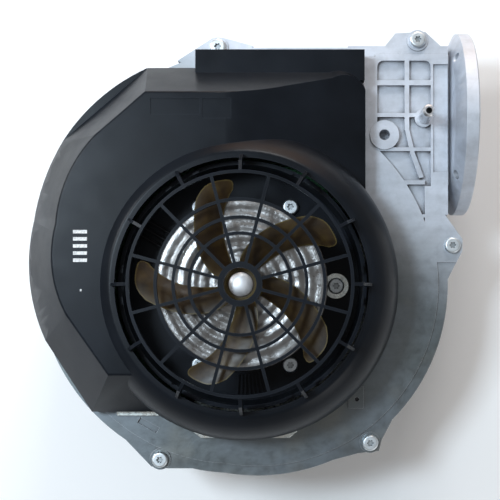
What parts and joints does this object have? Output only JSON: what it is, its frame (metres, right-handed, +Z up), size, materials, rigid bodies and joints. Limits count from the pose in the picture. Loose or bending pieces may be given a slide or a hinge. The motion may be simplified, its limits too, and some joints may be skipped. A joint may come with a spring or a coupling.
{
  "type": "gas boiler combustion blower",
  "caption": "Radial boiler blower: cast volute with round side outlet, bladed wheel inside, external-rotor motor with cooling fan under a caged plastic cover.",
  "frame": {"origin": "centre of the intake bore, on the flat face of the intake ring that the blower stands on", "axes": "+Z up the motor axis with the motor on top, +X the way the outlet faces, +Y across, toward the side of the volute that the outlet leaves from"},
  "size_m": [0.2201, 0.2253, 0.128],
  "materials": {
    "cast_aluminium": "fine shot-blasted die casting, satin",
    "fibre_gasket": "punched sheet",
    "rubber": "moulded rubber",
    "fastener_steel": "zinc plated, satin",
    "zinc_steel": "zinc plated",
    "turned_aluminium": "turned, satin",
    "bright_steel": "ground, bright",
    "electrical_steel": "punched laminations, dark edges",
    "insulator_plastic": "glass-filled nylon",
    "copper": "enamelled copper wire",
    "wire_sleeve": "wire insulation",
    "drawn_steel": "deep-drawn, plated, bright",
    "ferrite": "sintered ferrite",
    "amber_plastic": "translucent amber-brown moulding",
    "black_plastic": "fine spark-eroded moulding texture",
    "tray_plastic": "moulded, matt",
    "board": "green solder mask",
    "capacitor_sleeve": "shrunk sleeve",
    "component_black": "moulded epoxy",
    "socket_plastic": "natural nylon",
    "contact_metal": "tinned brass"
  },
  "bodies": {
    "housing": {"lower_casing": "cast_aluminium", "upper_casing": "cast_aluminium", "casing_gasket": "fibre_gasket", "outlet_seal": "rubber", "intake_seal": "rubber", "casing_screws": "fastener_steel", "motor_mount_screws": "fastener_steel", "earth_washer": "zinc_steel", "pressure_tap": "turned_aluminium", "bearing_tube": "turned_aluminium", "retaining_ring": "zinc_steel", "wave_spring": "bright_steel", "lower_bearing_outer_race": "bright_steel", "upper_bearing_outer_race": "bright_steel", "stator_core": "electrical_steel", "stator_insulators": "insulator_plastic", "stator_coils": "copper", "stator_leads": "wire_sleeve", "motor_base_plate": "zinc_steel", "motor_cover": "black_plastic", "electronics_tray": "tray_plastic", "circuit_board": "board", "board_screws": "fastener_steel", "bulk_capacitors": "capacitor_sleeve", "choke": "copper", "power_transistors": "component_black", "control_chip": "component_black", "hall_sensor": "component_black", "mains_socket": "socket_plastic", "mains_pins": "contact_metal", "signal_socket": "socket_plastic", "signal_pins": "contact_metal"},
    "rotor": {"shaft": "bright_steel", "lower_bearing_inner_race": "bright_steel", "lower_bearing_balls": "bright_steel", "upper_bearing_inner_race": "bright_steel", "upper_bearing_balls": "bright_steel", "rotor_cup": "drawn_steel", "rotor_magnets": "ferrite", "cooling_fan": "amber_plastic", "shaft_cap": "turned_aluminium", "impeller_hub": "turned_aluminium", "impeller_backplate": "turned_aluminium", "impeller_rivets": "turned_aluminium", "impeller_shroud": "turned_aluminium", "impeller_blades": "turned_aluminium", "impeller_nut": "zinc_steel", "balance_clip": "zinc_steel"}
  },
  "joints": [
    {"name": "rotor_spin", "type": "hinge", "parent": "housing", "child": "rotor", "pos_m": [0, 0, 0.087], "axis": [0, 0, 1], "continuous": true}
  ]
}
